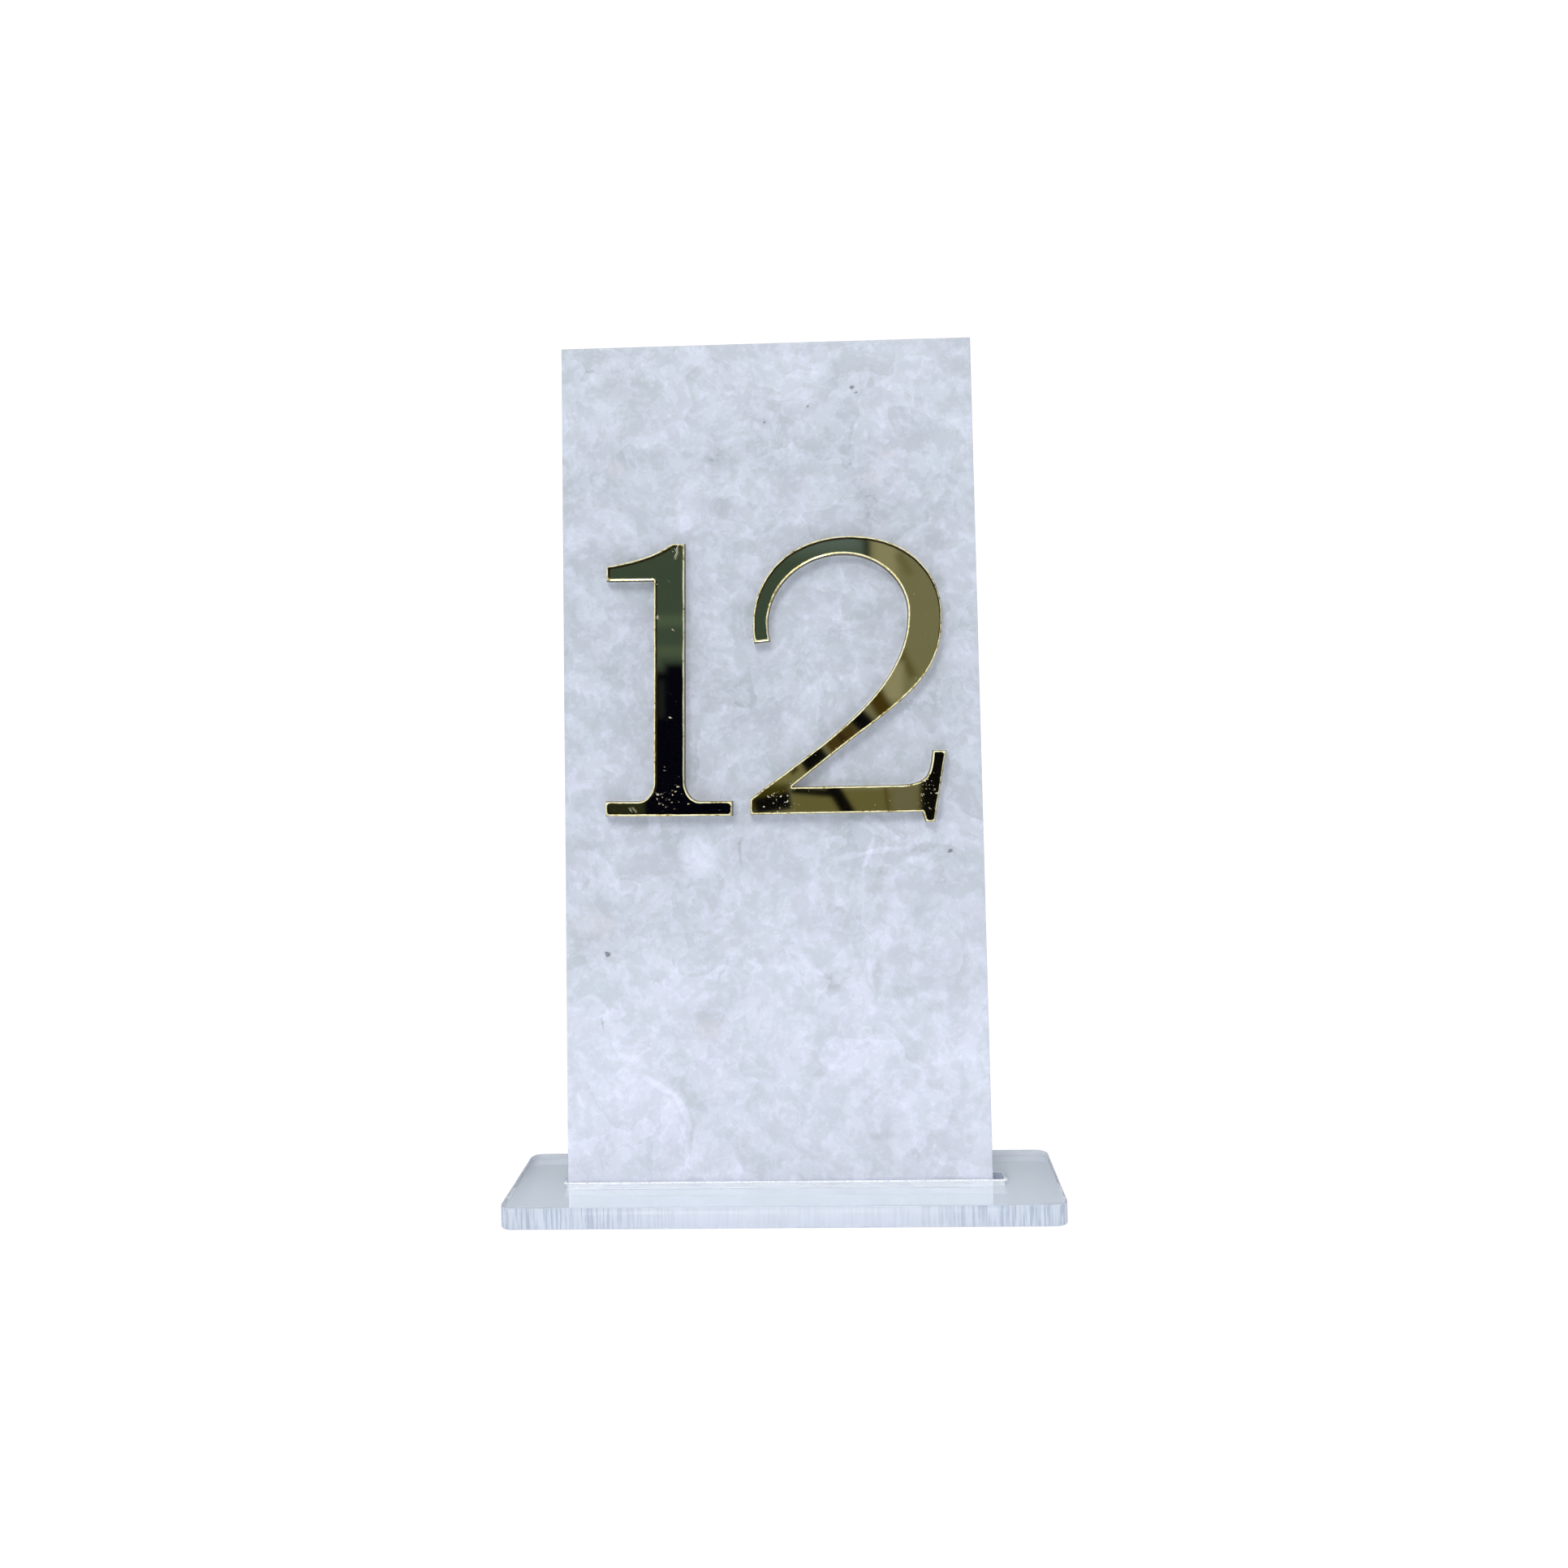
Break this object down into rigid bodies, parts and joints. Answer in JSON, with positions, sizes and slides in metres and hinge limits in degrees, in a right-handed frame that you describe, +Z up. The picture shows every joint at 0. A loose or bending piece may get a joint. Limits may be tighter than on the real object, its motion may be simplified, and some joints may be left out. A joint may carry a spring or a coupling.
{
  "type": "table number holder",
  "caption": "Upright marble-effect plaque with two raised mirror numerals, standing loose in the slot of a clear flat base.",
  "frame": {"origin": "centre of the base's footprint, on the surface that the holder stands on", "axes": "+X to the right as the numerals are read, +Y to the back, +Z up"},
  "size_m": [0.128, 0.037, 0.2048],
  "materials": {
    "clear_acrylic": "clear, polished faces, laser-cut edges",
    "marble_acrylic": "polished marble effect",
    "gold_acrylic": "transparent gold tint, polished",
    "mirror_coat": "mirror",
    "adhesive_film": "clear film"
  },
  "bodies": {
    "base": {"base_plate": "clear_acrylic"},
    "plaque": {"plaque": "marble_acrylic", "numeral_1_acrylic": "gold_acrylic", "numeral_1_mirror_coat": "mirror_coat", "numeral_1_adhesive": "adhesive_film", "numeral_2_acrylic": "gold_acrylic", "numeral_2_mirror_coat": "mirror_coat", "numeral_2_adhesive": "adhesive_film"}
  },
  "joints": [
    {"name": "plaque_lift", "type": "slide", "parent": "base", "child": "plaque", "axis": [0, 0.0698, 0.9976], "range_m": [0, 0.01]}
  ]
}
